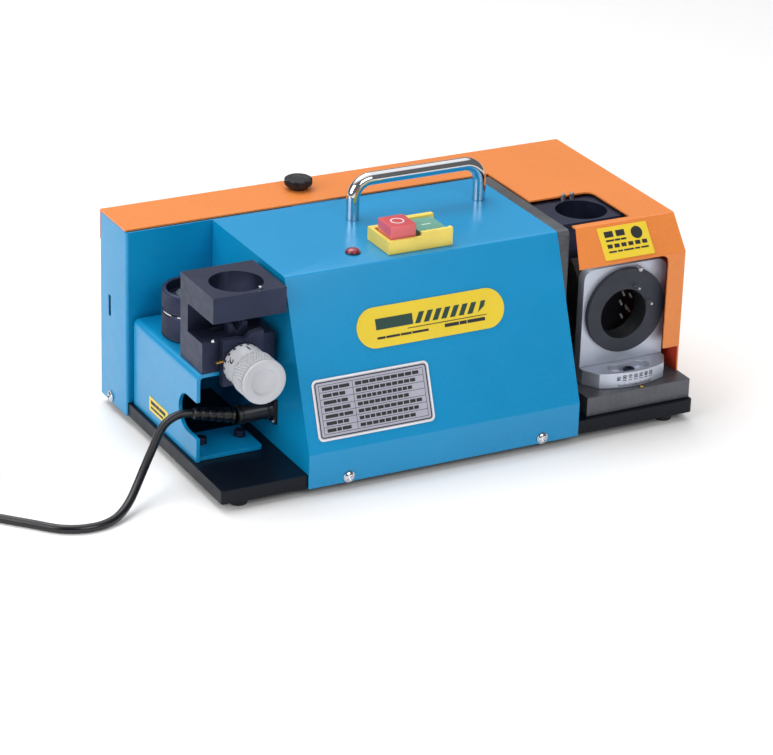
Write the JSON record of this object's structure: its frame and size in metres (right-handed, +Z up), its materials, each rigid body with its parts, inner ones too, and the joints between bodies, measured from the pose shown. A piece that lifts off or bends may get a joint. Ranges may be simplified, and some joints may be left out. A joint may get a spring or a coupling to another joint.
{
  "type": "drill bit sharpener",
  "caption": "Bench drill bit sharpener: motor case, orange hood, grinding ports with swinging angle bracket, chuck setting gauge, switch, handle and mains lead.",
  "frame": {"origin": "centre of the machine's footprint without its lead, on the bench under the rubber feet", "axes": "+X along the machine to the grinding ports, +Y from the controls' side to the back, +Z up"},
  "size_m": [0.742, 0.2801, 0.2256],
  "materials": {
    "blue_paint": "sky blue powder coat, fine orange peel, semi gloss",
    "orange_paint": "orange powder coat, fine orange peel, semi gloss",
    "tray_paint": "dark grey powder coat",
    "frame_steel": "milled steel plate, satin",
    "bright_metal": "polished chrome",
    "ground_steel": "ground steel",
    "black_oxide": "black anodised and oxide finish with a cool sheen",
    "bracket_aluminium": "satin machined aluminium",
    "plate_aluminium": "printed aluminium plate",
    "dial_white": "satin silver with black engraved marks",
    "brass": "turned brass",
    "motor_iron": "painted cast iron",
    "motor_aluminium": "cast aluminium",
    "abrasive": "resin bonded abrasive, rough",
    "foot_rubber": "matt black rubber",
    "lead_rubber": "satin black flexible sheath",
    "black_plastic": "moulded black plastic",
    "yellow_plastic": "glossy yellow plastic",
    "yellow_label": "yellow printed plate",
    "red_plastic": "translucent red plastic",
    "green_plastic": "glossy green plastic",
    "lamp_red": "dark red lamp lens"
  },
  "bodies": {
    "machine": {"base_tray": "tray_paint", "rubber_foot_front_left": "foot_rubber", "rubber_foot_front_right": "foot_rubber", "rubber_foot_rear_left": "foot_rubber", "rubber_foot_rear_right": "foot_rubber", "slide_plate": "frame_steel", "frame_plate": "frame_steel", "motor_body": "motor_iron", "motor_end_cap": "motor_aluminium", "spindle_bearing": "bright_metal", "capacitor": "motor_aluminium", "front_cover": "blue_paint", "rear_housing": "blue_paint", "carry_handle": "bright_metal", "skirt_screw_left": "bright_metal", "skirt_screw_right": "bright_metal", "panel_screw": "bright_metal", "oval_plate": "yellow_label", "data_plate": "plate_aluminium", "switch_housing": "yellow_plastic", "lamp_bezel": "black_plastic", "lamp_lens": "lamp_red", "support_bracket": "blue_paint", "bracket_screw_left": "black_oxide", "bracket_screw_right": "black_oxide", "gauge_block": "black_oxide", "locating_pin": "bright_metal", "gauge_front_plate": "black_oxide", "gauge_pointer": "brass", "thinning_block": "black_oxide", "thinning_pin_left": "bright_metal", "thinning_pin_right": "bright_metal", "clamp_screw": "black_oxide", "angle_pointer": "brass", "cable_gland": "black_plastic", "strain_relief": "lead_rubber", "power_cord": "lead_rubber", "cord_coil": "lead_rubber", "mains_plug": "black_plastic"},
    "rotor": {"spindle": "ground_steel", "cooling_fan": "black_plastic", "grinding_wheel": "abrasive", "wheel_flange": "ground_steel", "wheel_nut": "ground_steel"},
    "gauge_thimble": {"gauge_knob": "dial_white", "gauge_dial": "dial_white", "gauge_screw": "ground_steel"},
    "gauge_jaw": {"gauge_slide": "black_oxide"},
    "swing_bracket": {"angle_bracket": "bracket_aluminium", "port_ring": "black_oxide", "port_pin_upper": "bright_metal", "port_pin_lower": "bright_metal"},
    "stop_cap": {"stop_button": "red_plastic"},
    "start_cap": {"start_button": "green_plastic"},
    "hood": {"top_hood": "orange_paint", "caution_plate": "yellow_label"},
    "hood_knob": {"hood_thumbscrew": "black_plastic"},
    "chuck": {"chuck_body": "black_oxide", "chuck_collet": "ground_steel"},
    "chuck_ring": {"chuck_nut": "black_oxide"}
  },
  "joints": [
    {"name": "spindle_spin", "type": "hinge", "parent": "machine", "child": "rotor", "pos_m": [0.1674, -0.0036, 0.094], "axis": [1, 0, 0], "continuous": true},
    {"name": "gauge_knob_turn", "type": "hinge", "parent": "machine", "child": "gauge_thimble", "pos_m": [-0.1903, -0.0956, 0.111], "axis": [0, 1, 0], "range_deg": [-1080, 360]},
    {"name": "gauge_jaw_slide", "type": "slide", "parent": "machine", "child": "gauge_jaw", "axis": [0, 1, 0], "range_m": [-0.002, 0.006]},
    {"name": "angle_bracket_swing", "type": "hinge", "parent": "machine", "child": "swing_bracket", "pos_m": [0.1817, -0.0306, 0.046], "axis": [0, 0, 1], "range_deg": [-8, 8]},
    {"name": "stop_press", "type": "slide", "parent": "machine", "child": "stop_cap", "axis": [0, 0, -1], "range_m": [0, 0.003], "stiffness_N_per_m": 500, "springref_m": -0.003},
    {"name": "start_press", "type": "slide", "parent": "machine", "child": "start_cap", "axis": [0, 0, -1], "range_m": [0, 0.003], "stiffness_N_per_m": 500, "springref_m": -0.003},
    {"name": "hood_lift", "type": "slide", "parent": "machine", "child": "hood", "axis": [0, 0, 1], "range_m": [0, 0.2]},
    {"name": "hood_thumbscrew_turn", "type": "hinge", "parent": "hood", "child": "hood_knob", "pos_m": [-0.0496, 0.1084, 0.188], "axis": [0, 0, 1], "continuous": true},
    {"name": "chuck_lift", "type": "slide", "parent": "machine", "child": "chuck", "axis": [0, 0, 1], "range_m": [0, 0.12]},
    {"name": "chuck_nut_turn", "type": "hinge", "parent": "chuck", "child": "chuck_ring", "pos_m": [-0.1936, 0.0194, 0.133], "axis": [0, 0, 1], "continuous": true}
  ],
  "couplings": [
    {"joint": "gauge_jaw_slide", "follows": "gauge_knob_turn", "m_per_rad": -0.000318}
  ]
}
